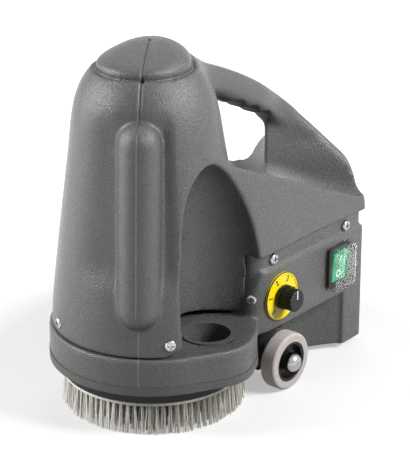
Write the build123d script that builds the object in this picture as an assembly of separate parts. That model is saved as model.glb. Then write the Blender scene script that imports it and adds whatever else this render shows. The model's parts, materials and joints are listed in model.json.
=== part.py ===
from build123d import *
from math import asin, cos, hypot, pi, radians, sin, sqrt
import os

# Stair cleaning machine, millimetres, +Z up. Everything is drawn about the brush axis with the floor at
# zero, X towards the rear and -Y towards the control panel, and shifted once when it is written out.

# Stance and base moulding
SKIRT_LIFT = 44.0
SKIRT_R = 90.0
SKIRT_H = 30.0
BASE_WALL = 4.0
DECK_TOP = SKIRT_LIFT + SKIRT_H
DECK_UNDER = DECK_TOP - BASE_WALL
SEAL_H = 5.0
SEAL_PROUD = 0.6
SOCKET_X, SOCKET_Y = 3.0, -60.0
SOCKET_BORE = 38.0
LOBE_R = 39.0
LOBE_BACK_X, LOBE_BACK_Y = 14.0, -55.0

# Control box
BOX_FRONT = 52.0
BOX_HALF = 73.0
BOX_CORNER_X = 203.0
BOX_REAR = 217.0
BOX_FLOOR = 57.5
BOX_BOTTOM = 5.0
BOX_TOP = 131.0
BOX_CORNER_R = 14.0
PANEL_RISE = 3.0
PANEL_TOP = 116.0
ARCH_END = 177.0
SPIGOT = 2.5

# Hood
HOOD_WALL = 3.5
HOOD_LIFT = 0.8
TOWER_STEP = 2.0
TOWER_FOOT_R = SKIRT_R - TOWER_STEP
TOWER_FOOT_Z = 70.0
TOWER_WAIST_R, TOWER_WAIST_Z = 76.8, 161.5
TOWER_NECK_R, TOWER_NECK_Z = 62.4, 259.0
SHOULDER_R, SHOULDER_Z = 57.6, 279.0
CAP_EDGE_R, CAP_EDGE_Z = 44.0, 301.5
CAP_R, CAP_Z = 39.3, 305.0
APEX_Z = 323.8
TOWER_LEAN = 1.94
TAIL_OVERHANG = 4.5
TAIL_HALF = BOX_HALF + TAIL_OVERHANG
TAIL_TAPER = 7.0
DISH_DEPTH, DISH_FLAT = 10.0, 48.0
RIDGE_FRONT_X, RIDGE_FRONT_Z = 12.0, 233.5
RIDGE_REAR_X, RIDGE_REAR_Z = 207.0, 143.0
HANDLE_FRONT_X, HANDLE_FRONT_Z = 30.0, 300.0
HANDLE_MID_X, HANDLE_MID_Z = 128.0, 262.0
HANDLE_REAR_Z = 196.0
HANDLE_ROOT_X, HANDLE_ROOT_LOW, HANDLE_ROOT_HIGH = 140.0, 125.0, 190.0
GRIP_HALF = 16.5
GRIP_ROUND = 13.0
COLUMN_FRONT = 146.0
COLUMN_ROUND = 5.0
COLUMN_FLARE, COLUMN_CORNER_R = 70.0, 12.0
ROOF_FLAT, ROOF_FALL = 6.0, 0.58
LOOP_CORNER_R = 9.0
LOOP_TOP = (80.0, 252.0, 160.0, 212.0)
LOOP_FOOT = [(133.0, 179.0), (112.0, 184.0), (88.0, 209.0)]
SCALLOP_R = 15.0
SCALLOP_DEPTH = 4.0
SCALLOP_PITCH = 23.0
NICHE_X, NICHE_Y = 3.0, -77.0
NICHE_FOOT_R, NICHE_SPRING_R = 49.0, 46.0
NICHE_FOOT_Z, NICHE_SPRING_Z, NICHE_TOP_Z = 60.0, 155.0, 231.0
NICHE_SHOULDER_R, NICHE_SHOULDER_Z = 34.5, 199.0
SEAM_ANGLE = 33.5
BAR_R = 18.0
BAR_LOW, BAR_HIGH = (79.5, 117.0), (64.5, 254.0)
RECESS_R, RECESS_ANGLE = 21.0, 20.6
RECESS_LOW, RECESS_HIGH = (96.0, 140.0), (83.0, 250.0)

# Drive
MODULE = 1.25
PINION_TEETH, GEAR_TEETH = 12, 40
CENTRE_DISTANCE = MODULE * (PINION_TEETH + GEAR_TEETH) / 2
MOTOR_ANGLE = 135.0
MOTOR_X = CENTRE_DISTANCE * cos(radians(MOTOR_ANGLE))
MOTOR_Y = CENTRE_DISTANCE * sin(radians(MOTOR_ANGLE))
MOTOR_R = 36.0
MOTOR_WALL = 3.5
MOTOR_EAR_R = MOTOR_R + 6.5
FAN_R = MOTOR_R - 3.0
COMMUTATOR_R = 14.2
SHAFT_R = 4.0
SPINDLE_R = 6.0
RUNNING = 0.05
GEAR_LOW, GEAR_FACE = 57.0, 8.0

# Brush
BRUSH_R = 80.0
BLOCK_LOW, BLOCK_HIGH = 30.0, 46.0
SLICE = 3.0
STRAND = 3.0
RING_FIRST, RING_STEP, RINGS = 33.5, 8.6, 6
STRAND_GAP = 5.7

# Wheels
WHEEL_R = 26.0
WHEEL_WIDTH = 15.0
WHEEL_FACE_Y = -(BOX_HALF + WHEEL_WIDTH)
HUB_R = 18.5
AXLE_R = 4.0
AXLE_CAP_R = 8.5
AXLE_CAP_OUT = 8.0
AXLE_CAP_Y = WHEEL_FACE_Y - AXLE_CAP_OUT
BRACKET_HALF = 13.0
BRACKET_WALL = 3.5
BRACKET_IN = BOX_HALF - 15.0
BRACKET_OUT = BRACKET_IN + BRACKET_WALL
SKIRT_CLEAR = 1.292
WHEEL_X = sqrt((SKIRT_R + SKIRT_CLEAR) ** 2 - BRACKET_IN ** 2) + BRACKET_HALF

# Controls
DIAL_X, DIAL_Z = 83.0, 86.5
DIAL_D = 44.5
KNOB_D = 20.0
KNOB_FRONT_Y = -94.0
SWITCH_X, SWITCH_Z = 165.3, 89.2
FRAME_W, FRAME_H = 31.5, 38.5
ROCKER_W, ROCKER_H = 20.4, 28.4
ROCKER_SET = 8.0

# Fasteners
SCREW_HEAD_R = 5.0
SCREW_R = 2.2
HOLE_R = 2.3

# Rear cable gland
GLAND_Z = 40.0
GLAND_R = 8.0
GLAND_BORE_R = 4.5
GLAND_OUT = 20.0

# Wiring on the floor of the box
SUPPRESSOR_R, SUPPRESSOR_LENGTH = 14.5, 46.0
SUPPRESSOR_X, SUPPRESSOR_Y = 135.0, -18.0
TERMINALS_X, TERMINALS_Y = 140.0, 10.0
TERMINAL_PITCH, TERMINAL_DEPTH = 12.0, 18.0

PANEL_Y = -(BOX_HALF + PANEL_RISE)
X_LOW, X_HIGH = -SKIRT_R - SEAL_PROUD, BOX_REAR + GLAND_OUT
Y_LOW, Y_HIGH = SOCKET_Y - LOBE_R - SEAL_PROUD, -AXLE_CAP_Y
SHIFT = Pos(-(X_LOW + X_HIGH) / 2, -(Y_LOW + Y_HIGH) / 2, 0)


def rise(plan, low, high):
    return Pos(0, 0, low) * extrude(plan, high - low)


def ring(outer, inner, low, high, x=0.0, y=0.0):
    return Pos(x, y, 0) * rise(Circle(outer) - Circle(inner), low, high)


def disc(radius, low, high, x=0.0, y=0.0):
    return Pos(x, y, 0) * rise(Circle(radius), low, high)


def block(x_low, x_high, y_low, y_high, z_low, z_high):
    centre = Pos((x_low + x_high) / 2, (y_low + y_high) / 2, (z_low + z_high) / 2)
    return centre * Box(x_high - x_low, y_high - y_low, z_high - z_low)


def side_plan(points):
    """A face in the XZ plane, from (x, z) points."""
    return Plane.XZ * make_face(Polyline(*points, close=True))


def across(face, half):
    return extrude(face, half, both=True)


def facing_right(x, z, y=PANEL_Y):
    """Working plane on the right flank: x to the rear, y up, z out of the machine."""
    return Plane(origin=(x, y, z), x_dir=(1, 0, 0), z_dir=(0, -1, 0))


def facing_out(angle, radius, z):
    """Working plane on the tower, at an angle from the nose towards the right flank."""
    out = (-cos(radians(angle)), -sin(radians(angle)), 0)
    return Plane(origin=(radius * out[0], radius * out[1], z), x_dir=(-out[1], out[0], 0), z_dir=out)


def left(shape):
    return mirror(shape, about=Plane.XZ)


def both(shape):
    return shape + left(shape)


def along_y(outer, inner, y_low, y_high, x, z):
    """A tube along Y between two Y values."""
    spot = Plane(origin=(x, y_low, z), x_dir=(1, 0, 0), z_dir=(0, 1, 0))
    plan = Circle(outer) - Circle(inner) if inner else Circle(outer)
    return spot * extrude(plan, y_high - y_low)


def skirt_plan(inset):
    rims = [Circle(SKIRT_R - inset)]
    rims.append(Pos(SOCKET_X, SOCKET_Y) * Circle(LOBE_R - inset))
    rims.append(Pos(LOBE_BACK_X, LOBE_BACK_Y) * Circle(LOBE_R - inset))
    return make_hull([edge for rim in rims for edge in rim.edges()])


def box_plan(half, inset=0.0):
    side = half - inset
    front = BOX_FRONT + inset
    rear = BOX_REAR + half - BOX_HALF - inset
    corner = BOX_CORNER_X - inset / 2
    outline = Line((front, -side), (corner, -side))
    outline += ThreePointArc((corner, -side), (rear, 0), (corner, side))
    outline += Line((corner, side), (front, side))
    outline += Line((front, side), (front, -side))
    plan = make_face(outline)
    return fillet(plan.vertices().sort_by(Axis.X)[:2], BOX_CORNER_R - inset)


def arch_plan(inset):
    """Plan of the box below the wheel recesses."""
    side = BOX_HALF - inset
    nose = SKIRT_R + 5.0 + inset
    root_x, root_y = SKIRT_R - 3.0 + inset, BOX_HALF - 35.0 - inset / 2
    scoop_x, scoop_y = 140.0 + inset / 2, BOX_HALF - 24.0 - inset
    end = ARCH_END + inset / 2
    corner = BOX_CORNER_X - inset / 2
    outline = ThreePointArc((root_x, -root_y), (nose, 0), (root_x, root_y))
    outline += ThreePointArc((root_x, root_y), (scoop_x, scoop_y), (end, side))
    outline += Line((end, side), (corner, side))
    outline += ThreePointArc((corner, side), (BOX_REAR - inset, 0), (corner, -side))
    outline += Line((corner, -side), (end, -side))
    outline += ThreePointArc((end, -side), (scoop_x, -scoop_y), (root_x, -root_y))
    return make_face(outline)


def pan_screw(length):
    head = extrude(Circle(SCREW_HEAD_R), 3.2)
    head = fillet(head.faces().sort_by(Axis.Z)[-1].edges(), 2.0)
    head -= Pos(0, 0, 1.6) * extrude(Rectangle(5.6, 1.3) + Rectangle(1.3, 5.6), 2)
    return head + Pos(0, 0, -length) * extrude(Circle(SCREW_R), length)


def gear_plan(teeth):
    pitch_r = MODULE * teeth / 2
    tip, root = pitch_r + 0.9 * MODULE, pitch_r - 1.25 * MODULE
    half_tip, half_root = 0.13 * 2 * pi / teeth, 0.29 * 2 * pi / teeth
    points = []
    for tooth in range(teeth):
        middle = 2 * pi * tooth / teeth
        corners = [(root, -half_root), (tip, -half_tip), (tip, half_tip), (root, half_root)]
        points += [(r * cos(middle + a), r * sin(middle + a)) for r, a in corners]
    return make_face(Polyline(*points, close=True))


TOWER_SCREWS = [(-25.0, 84.0), (51.0, 86.0), (-102.0, 84.0)]
FLANK_SCREWS = [(74.0, 123.7), (180.0, 122.5)]
CORNER_SCREW = (BOX_FRONT + BOX_CORNER_R, BOX_CORNER_R - BOX_HALF, 210.0, 90.5)


def niche(grow):
    """The arched recess above the socket, enlarged by grow."""
    spring = (NICHE_SPRING_R + grow, NICHE_SPRING_Z)
    top = (0, NICHE_TOP_Z + grow)
    shoulder = (NICHE_SHOULDER_R + grow, NICHE_SHOULDER_Z + grow / 2)
    outline = Polyline((0, NICHE_FOOT_Z), (NICHE_FOOT_R + grow, NICHE_FOOT_Z), spring)
    outline += ThreePointArc(spring, shoulder, top)
    outline += Line(top, (0, NICHE_FOOT_Z))
    return Pos(NICHE_X, NICHE_Y, 0) * revolve(Plane.XZ * make_face(outline), Axis.Z)


def dome(edge, apex):
    """Arc from an edge point up to the axis, centred on the axis."""
    rise_z = apex - edge[1]
    radius = (edge[0] ** 2 + rise_z ** 2) / (2 * rise_z)
    half = asin(edge[0] / radius) / 2
    return ThreePointArc(edge, (radius * sin(half), apex - radius * (1 - cos(half))), (0, apex))


def tower(inset):
    """Tower with its cap, which leans forward; it is trimmed at the deck afterwards."""
    foot = TOWER_FOOT_Z
    edge = (CAP_EDGE_R - 2.5 * inset, CAP_EDGE_Z - 1.5 * inset)
    outline = Line((0, foot), (TOWER_FOOT_R - inset, foot))
    outline += ThreePointArc(
        (TOWER_FOOT_R - inset, foot),
        (TOWER_WAIST_R - inset, TOWER_WAIST_Z),
        (TOWER_NECK_R - inset, TOWER_NECK_Z),
    )
    outline += ThreePointArc(
        (TOWER_NECK_R - inset, TOWER_NECK_Z),
        (SHOULDER_R - 1.5 * inset, SHOULDER_Z - inset),
        edge,
    )
    if inset:
        outline += dome(edge, APEX_Z - 2 * inset)
    else:
        groove = (CAP_R - 2.0, CAP_EDGE_Z + 1.0)
        outline += Line(edge, groove)
        outline += Line(groove, (CAP_R, CAP_Z))
        outline += dome((CAP_R, CAP_Z), APEX_Z)
    outline += Line((0, APEX_Z - 2 * inset), (0, foot))
    upright = revolve(Plane.XZ * make_face(outline), Axis.Z)
    pivot = Pos(0, 0, DECK_TOP)
    return pivot * Rot(0, -TOWER_LEAN, 0) * pivot.inverse() * upright


RIDGE_SLOPE = (RIDGE_REAR_Z - RIDGE_FRONT_Z) / (RIDGE_REAR_X - RIDGE_FRONT_X)


def ridge_z(x):
    return RIDGE_FRONT_Z + RIDGE_SLOPE * (x - RIDGE_FRONT_X)


def tail_plan(inset):
    side = TAIL_HALF - inset
    rear = BOX_REAR + TAIL_OVERHANG - inset
    corner = BOX_CORNER_X + TAIL_OVERHANG - inset / 2
    outline = Line((0, -side), (corner, -side))
    outline += ThreePointArc((corner, -side), (rear, 0), (corner, side))
    outline += Line((corner, side), (0, side))
    outline += Line((0, side), (0, -side))
    return make_face(outline)


def tail(inset):
    """The full width wedge over the control box."""
    foot = BOX_TOP + 0.5
    wedge = Pos(0, 0, foot) * extrude(tail_plan(inset), 110, taper=TAIL_TAPER)
    lid = [(-20, ridge_z(-20)), (260, ridge_z(260)), (260, 330), (-20, 330)]
    rim, flat = TAIL_HALF, DISH_FLAT
    dish = Polyline((-rim, 0), (-flat, -DISH_DEPTH), (flat, -DISH_DEPTH), (rim, 0), close=True)
    start = Plane(origin=(-20, 0, ridge_z(-20)), x_dir=(0, 1, 0), z_dir=(1, 0, 0))
    trough = extrude(start * make_face(dish), 280, dir=(1, 0, RIDGE_SLOPE))
    return wedge - Pos(0, 0, -inset) * (across(side_plan(lid), 120) + trough)


def loop_plan(grow=0.0):
    """Outline of the hand opening in the side view, enlarged by grow."""
    front_x, front_z, rear_x, rear_z = LOOP_TOP
    face = make_face(Polyline((front_x, front_z), (rear_x, rear_z), *LOOP_FOOT, close=True))
    face = fillet(face.vertices(), LOOP_CORNER_R)
    return Plane.XZ * (offset(face, grow) if grow else face)


def handle_top(drop):
    """Side outline of the handle and rear column, lowered by drop."""
    rear = BOX_REAR + TAIL_OVERHANG - drop
    front_z, rear_z = HANDLE_FRONT_Z - drop, HANDLE_REAR_Z - drop
    outline = ThreePointArc((HANDLE_FRONT_X, front_z), (HANDLE_MID_X, HANDLE_MID_Z - drop), (rear, rear_z))
    low, root = HANDLE_ROOT_LOW, (HANDLE_FRONT_X, HANDLE_ROOT_HIGH)
    outline += Polyline((rear, rear_z), (rear, low), (HANDLE_ROOT_X, low), root, (HANDLE_FRONT_X, front_z))
    return Plane.XZ * make_face(outline)


def column_plan(inset):
    """Plan of the rear column, which flares out towards the rear."""
    rear = BOX_REAR + TAIL_OVERHANG - inset
    root, flare, corner = ROOF_FLAT - inset, COLUMN_FLARE - inset, BOX_CORNER_X - inset
    front = COLUMN_FRONT + inset
    outline = Line((front, -root), (corner, -flare))
    outline += ThreePointArc((corner, -flare), (rear, 0), (corner, flare))
    outline += Line((corner, flare), (front, root))
    outline += Line((front, root), (front, -root))
    plan = make_face(outline)
    return fillet(plan.vertices().sort_by(Axis.X)[2:], COLUMN_CORNER_R - inset)


def roof(drop):
    """Everything under the top of the handle, which falls away to both sides like a gable."""
    middle = handle_top(drop)
    side = Pos(0, -ROOF_FLAT, 0) * middle
    slope = extrude(side, TAIL_HALF, dir=(0, -1, -ROOF_FALL))
    return across(middle, ROOF_FLAT) + both(slope)


def column(inset):
    body = rise(column_plan(inset), 134 - 2 * inset, 300) & roof(inset * 1.3)
    if not inset:
        rims = body.edges().filter_by(GeomType.BSPLINE)
        body = fillet(rims.filter_by(lambda edge: edge.center().Z > 165), COLUMN_ROUND)
    return body - across(loop_plan(inset), 60)


def grip():
    """The bar of the loop handle and the web that joins it to the tower."""
    bar = across(handle_top(0), GRIP_HALF) - across(loop_plan(), 60)
    bar -= block(190, 260, -60, 60, 100, 320)
    faces = bar.faces().filter_by(Axis.Y)
    rims = [edge for face in faces for edge in face.edges()]
    keep = [edge for edge in rims if 40 < edge.center().X < 170 and edge.center().Z > 178]
    return fillet(keep, GRIP_ROUND)


def on_tower(spot, angle):
    """Point at a (radius, height) and an angle from the nose towards the right flank."""
    radius, z = spot
    return (-radius * cos(radians(angle)), -radius * sin(radians(angle)), z)


def rod(low, high, radius):
    """Round rod with round ends between two points."""
    line = Vector(high) - Vector(low)
    body = Plane(origin=low, z_dir=line) * extrude(Circle(radius), line.length)
    return body + Pos(*low) * Sphere(radius) + Pos(*high) * Sphere(radius)


def grip_bar():
    """The vertical half round bar on the front of the tower."""
    return rod(on_tower(BAR_LOW, SEAM_ANGLE), on_tower(BAR_HIGH, SEAM_ANGLE), BAR_R)


def recesses(grow):
    """Finger room on both sides of the vertical bar."""
    room = Part()
    for angle in (SEAM_ANGLE - RECESS_ANGLE, SEAM_ANGLE + RECESS_ANGLE):
        room += rod(on_tower(RECESS_LOW, angle), on_tower(RECESS_HIGH, angle), RECESS_R + grow)
    return room


def scallops():
    """Three finger recesses in the underside of the handle."""
    front_x, front_z, rear_x, rear_z = LOOP_TOP
    fall = (rear_z - front_z) / (rear_x - front_x)
    cuts = Part()
    for finger in (-1, 0, 1):
        x = (front_x + rear_x) / 2 + finger * SCALLOP_PITCH / hypot(1, fall)
        z = front_z + fall * (x - front_x) - SCALLOP_R + SCALLOP_DEPTH
        cuts += along_y(SCALLOP_R, 0, -40, 40, x, z)
    above = [(front_x, front_z - 2), (rear_x, rear_z - 2), (rear_x, rear_z + 20), (front_x, front_z + 20)]
    return cuts & across(side_plan(above), 50)


def make_hood():
    outer = tower(0) - recesses(0) + grip_bar() + tail(0) + column(0) + grip()
    outer -= scallops()
    outer -= niche(0)
    hollow = tower(HOOD_WALL) - recesses(HOOD_WALL) + tail(HOOD_WALL) + column(HOOD_WALL)
    hollow += rise(tail_plan(HOOD_WALL), BOX_TOP, BOX_TOP + 1.5)
    hollow -= niche(HOOD_WALL)
    shell = outer - hollow
    shell -= block(-200, 300, -200, 200, 0, DECK_TOP + HOOD_LIFT)
    shell -= rise(box_plan(BOX_HALF + 0.4), DECK_TOP - 10, BOX_TOP + 0.5)
    shell -= rise(box_plan(BOX_HALF + 0.4), BOX_TOP, BOX_TOP + SPIGOT + 0.5)
    for x, z in FLANK_SCREWS:
        wall_in = -(BOX_HALF - BASE_WALL - 0.4)
        tab = block(x - 8, x + 8, wall_in, wall_in + 6, z - 10, BOX_TOP + 12)
        tab += block(x - 8, x + 8, wall_in - 6.2, wall_in + 6, BOX_TOP + 5, BOX_TOP + 12)
        tab -= facing_right(x, z) * Pos(0, 0, -20) * extrude(Circle(HOLE_R), 40)
        shell += both(tab)
    shell -= corner_plane() * Pos(0, 0, -1) * extrude(Circle(SCREW_HEAD_R + 1), 14)
    corner_end = BOX_CORNER_R - BOX_HALF
    shell -= block(BOX_FRONT - 0.4, BOX_FRONT + BOX_CORNER_R, -TAIL_HALF, corner_end, DECK_TOP, BOX_TOP + 0.5)
    for angle, z in TOWER_SCREWS:
        shell -= facing_out(angle, 70, z) * extrude(Circle(HOLE_R), 30)
        shell -= facing_out(angle, SEAT_R, z) * extrude(Circle(SCREW_HEAD_R + 0.3), 10)
    return shell


def make_base():
    skirt = rise(skirt_plan(0), SKIRT_LIFT, DECK_TOP)
    skirt -= rise(skirt_plan(BASE_WALL), SKIRT_LIFT - 1, DECK_UNDER)
    skirt += disc(18, DECK_UNDER - 4, DECK_TOP)
    box = rise(box_plan(BOX_HALF), BOX_FLOOR, BOX_TOP) + rise(arch_plan(0), BOX_BOTTOM, BOX_FLOOR + 1)
    rim = rise(box_plan(BOX_HALF, 0.5), BOX_TOP - 1, BOX_TOP + SPIGOT)
    panel = [(58, PANEL_TOP), (BOX_CORNER_X, PANEL_TOP), (BOX_CORNER_X, BOX_BOTTOM), (ARCH_END, BOX_BOTTOM)]
    panel += [(ARCH_END, BOX_FLOOR), (66, BOX_FLOOR), (66, 88)]
    raised = make_face(Polyline(*panel, close=True))
    raised = facing_right(0, 0, -BOX_HALF) * extrude(raised, PANEL_RISE)
    box += rim + both(raised)
    box -= rise(box_plan(BOX_HALF, BASE_WALL), BOX_FLOOR + BASE_WALL, BOX_TOP + 20)
    box -= rise(arch_plan(BASE_WALL), BOX_BOTTOM + BASE_WALL, BOX_FLOOR + BASE_WALL + 1)
    box -= block(BOX_FRONT - 1, BOX_FRONT + 6, -46, 46, DECK_TOP, BOX_TOP + 20)
    box -= disc(SKIRT_R - 0.5, SKIRT_LIFT - 1, DECK_TOP)
    base = skirt + box
    for angle, z in TOWER_SCREWS:
        boss = facing_out(angle, BOSS_R - 6, 0) * Pos(0, DECK_TOP + 9, 0) * extrude(Rectangle(9, 18), 6)
        boss &= disc(BOSS_R, DECK_TOP, DECK_TOP + 40)
        base += boss - niche(HOOD_WALL + 0.6)
        base -= facing_out(angle, 70, z) * extrude(Circle(HOLE_R), 30)
    base -= disc(SOCKET_BORE / 2 + 3.0, SKIRT_LIFT, DECK_TOP + 5, SOCKET_X, SOCKET_Y)
    base -= disc(SPINDLE_BEARING_R, DECK_UNDER - 5, DECK_UNDER + 3)
    base -= disc(SPINDLE_R + 4, DECK_UNDER, DECK_TOP + 1)
    base -= disc(12.0, DECK_UNDER - 5, DECK_TOP + 5, MOTOR_X, MOTOR_Y)
    base -= facing_right(DIAL_X, DIAL_Z) * Pos(0, 0, -20) * extrude(Circle(3.6), 40)
    slot = extrude(Rectangle(SWITCH_BODY_W + 0.2, SWITCH_BODY_H + 0.2), 40)
    base -= facing_right(SWITCH_X, SWITCH_Z) * Pos(0, 0, -20) * slot
    for x, z in FLANK_SCREWS:
        base -= both(facing_right(x, z) * Pos(0, 0, -20) * extrude(Circle(HOLE_R), 40))
    base -= corner_plane() * Pos(0, 0, -12) * extrude(Circle(HOLE_R), 14)
    base -= Plane.YZ * Pos(0, GLAND_Z, BOX_REAR - 15) * extrude(Circle(GLAND_R + 0.1), 40)
    for x, y in motor_screw_spots():
        base -= disc(HOLE_R, DECK_UNDER - 1, DECK_TOP + 1, x, y)
    for x, y in case_screw_spots():
        base -= disc(HOLE_R, DECK_UNDER - 1, DECK_TOP + 1, x, y)
    for x, y in bracket_screw_spots():
        base -= both(disc(HOLE_R, BOX_FLOOR - 1, BOX_FLOOR + BASE_WALL + 1, x, y))
    return base


SPINDLE_BEARING_R = 14.0
BOSS_R = TOWER_FOOT_R - HOOD_WALL - 3.1
SEAT_R = TOWER_FOOT_R - 2.4
MOTOR_BEARING_R = 11.0
SWITCH_BODY_W, SWITCH_BODY_H = 24.0, 32.0
CASE_R = 31.0
CASE_SMALL_R = 14.5


def corner_plane():
    x, y, angle, z = CORNER_SCREW
    out = (cos(radians(angle)), sin(radians(angle)), 0)
    spot = (x + BOX_CORNER_R * out[0], y + BOX_CORNER_R * out[1], z)
    return Plane(origin=spot, x_dir=(-out[1], out[0], 0), z_dir=out)


def motor_screw_spots():
    spots = []
    for turn in (0, 120, 240):
        angle = radians(MOTOR_ANGLE + turn)
        spots.append((MOTOR_X + MOTOR_EAR_R * cos(angle), MOTOR_Y + MOTOR_EAR_R * sin(angle)))
    return spots


def case_screw_spots():
    return [(36 * cos(radians(a)), 36 * sin(radians(a))) for a in (0, 70, 200, 290)]


def bracket_screw_spots():
    middle = -(BRACKET_OUT + BOX_HALF - 1.5) / 2
    return [(WHEEL_X - 7, middle), (WHEEL_X + 7, middle)]


def make_seal():
    lip = rise(skirt_plan(-SEAL_PROUD) - skirt_plan(0), SKIRT_LIFT - 0.5, SKIRT_LIFT + SEAL_H)
    return lip + rise(skirt_plan(-SEAL_PROUD) - skirt_plan(BASE_WALL), SKIRT_LIFT - 2.0, SKIRT_LIFT)


def make_sleeve():
    bore = SOCKET_BORE / 2
    sleeve = ring(bore + 3.0, bore, SKIRT_LIFT + 4, DECK_TOP, SOCKET_X, SOCKET_Y)
    sleeve += ring(bore + 4.5, bore, DECK_TOP, DECK_TOP + 1.2, SOCKET_X, SOCKET_Y)
    edge = SOCKET_X - bore
    return sleeve - block(edge - 2, edge + 2, SOCKET_Y - 3, SOCKET_Y + 3, DECK_TOP - 6, DECK_TOP + 2)


def make_hood_screws():
    screws = Part()
    for angle, z in TOWER_SCREWS:
        screws += facing_out(angle, SEAT_R, z) * pan_screw(9)
    for x, z in FLANK_SCREWS:
        screws += both(facing_right(x, z, -BOX_HALF) * pan_screw(10))
    return screws + corner_plane() * pan_screw(8)


def make_motor():
    here = dict(x=MOTOR_X, y=MOTOR_Y)
    lower = disc(MOTOR_R, DECK_TOP, 88, **here)
    for x, y in motor_screw_spots():
        ear = make_hull(Circle(5.2).edges() + (Pos(MOTOR_X - x, MOTOR_Y - y) * Circle(12)).edges())
        lower += Pos(x, y, 0) * rise(ear, DECK_TOP, DECK_TOP + 4)
    lower -= disc(MOTOR_R - MOTOR_WALL, 80, 89, **here) - disc(15, 80, 89, **here)
    lower -= disc(MOTOR_BEARING_R, 81, 89, **here) + disc(9, DECK_TOP - 1, 89, **here)
    for x, y in motor_screw_spots():
        lower -= disc(HOLE_R, DECK_TOP - 1, DECK_TOP + 8, x, y)
    casing = ring(MOTOR_R, MOTOR_R - MOTOR_WALL, 88, 178, **here)
    field = ring(MOTOR_R - MOTOR_WALL, 23.2, 100, 150, **here)
    for side in (45, 225):
        pole = Pos(MOTOR_X, MOTOR_Y, 125) * Rot(0, 0, side) * Pos(28, 0, 0) * Box(8, 22, 62)
        field += pole & ring(MOTOR_R - MOTOR_WALL, 23.2, 94, 156, **here)
    upper = ring(MOTOR_R, MOTOR_R - MOTOR_WALL, 178, 190, **here)
    upper += ring(MOTOR_R, 15.5, 190, 193, **here) + ring(15.5, MOTOR_BEARING_R, 182, 193, **here)
    for turn in range(6):
        vent = Rot(0, 0, 60 * turn) * Pos(24.5, 0, 0) * Box(12, 9, 8)
        upper -= Pos(MOTOR_X, MOTOR_Y, 191) * vent
    carbons = Part()
    wipe, reach = COMMUTATOR_R + 0.3, MOTOR_R - MOTOR_WALL - 1.2
    for turn in (0, 180):
        bar = Rot(0, 0, turn) * Pos((reach + wipe) / 2, 0, 0) * Box(reach - wipe, 7, 9)
        carbons += Pos(MOTOR_X, MOTOR_Y, 164.5) * bar
    bearing_low = ring(MOTOR_BEARING_R, SHAFT_R + RUNNING, 81, 88, **here)
    bearing_high = ring(MOTOR_BEARING_R, SHAFT_R + RUNNING, 184, 191, **here)
    shaft = disc(SHAFT_R, 55.5, 208, **here)
    stack = Circle(22.0)
    for slot in range(12):
        stack -= Rot(0, 0, 30 * slot) * Pos(19.5, 0) * Rectangle(8, 2.4)
    armature = Pos(MOTOR_X, MOTOR_Y, 0) * rise(stack - Circle(SHAFT_R), 100, 150)
    commutator = ring(COMMUTATOR_R, SHAFT_R, 156, 174, **here)
    fan = ring(9, SHAFT_R, 197, 207, **here) + ring(FAN_R, 8, 197, 198.5, **here)
    for blade in range(9):
        vane = Pos((FAN_R + 8) / 2, 0, 0) * Rot(0, 0, 20) * Box(FAN_R - 9, 1.6, 9)
        vane = Rot(0, 0, 40 * blade) * vane
        fan += Pos(MOTOR_X, MOTOR_Y, 202.5) * vane
    fan &= disc(FAN_R, 190, 220, **here)
    fan -= disc(SHAFT_R, 190, 220, **here)
    pinion = gear_plan(PINION_TEETH) - Circle(SHAFT_R)
    pinion = Pos(MOTOR_X, MOTOR_Y, 0) * rise(pinion, GEAR_LOW - 1, GEAR_LOW + GEAR_FACE + 1)
    return {
        "motor_lower_bell": lower,
        "motor_casing": casing,
        "motor_field": field,
        "motor_upper_bell": upper,
        "carbon_brushes": carbons,
        "motor_bearing_lower": bearing_low,
        "motor_bearing_upper": bearing_high,
        "motor_shaft": shaft,
        "armature": armature,
        "commutator": commutator,
        "cooling_fan": fan,
        "drive_pinion": pinion,
    }


def case_plan(inset):
    small = Pos(MOTOR_X, MOTOR_Y) * Circle(CASE_SMALL_R - inset)
    return make_hull(Circle(CASE_R - inset).edges() + small.edges())


def make_gear_case():
    case = rise(case_plan(0), 51.5, DECK_UNDER) - rise(case_plan(3), 54.5, DECK_UNDER + 1)
    for x, y in case_screw_spots():
        ear = make_hull(Circle(5.0).edges() + (Pos(-0.2 * x, -0.2 * y) * Circle(5.5)).edges())
        case += Pos(x, y, 0) * rise(ear, 66, DECK_UNDER)
    case -= rise(case_plan(3), 54.5, DECK_UNDER + 1)
    case += disc(SPINDLE_BEARING_R + 3, 46.5, 55.5)
    case -= disc(SPINDLE_BEARING_R, 48, 60) + disc(SPINDLE_R + 1, 40, 60)
    for x, y in case_screw_spots():
        case -= disc(HOLE_R, 60, DECK_UNDER + 1, x, y)
    return case


def down_screw(x, y, z, length):
    return Pos(x, y, z) * pan_screw(length)


def up_screw(x, y, z, length):
    return Pos(x, y, z) * Rot(180, 0, 0) * pan_screw(length)


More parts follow.
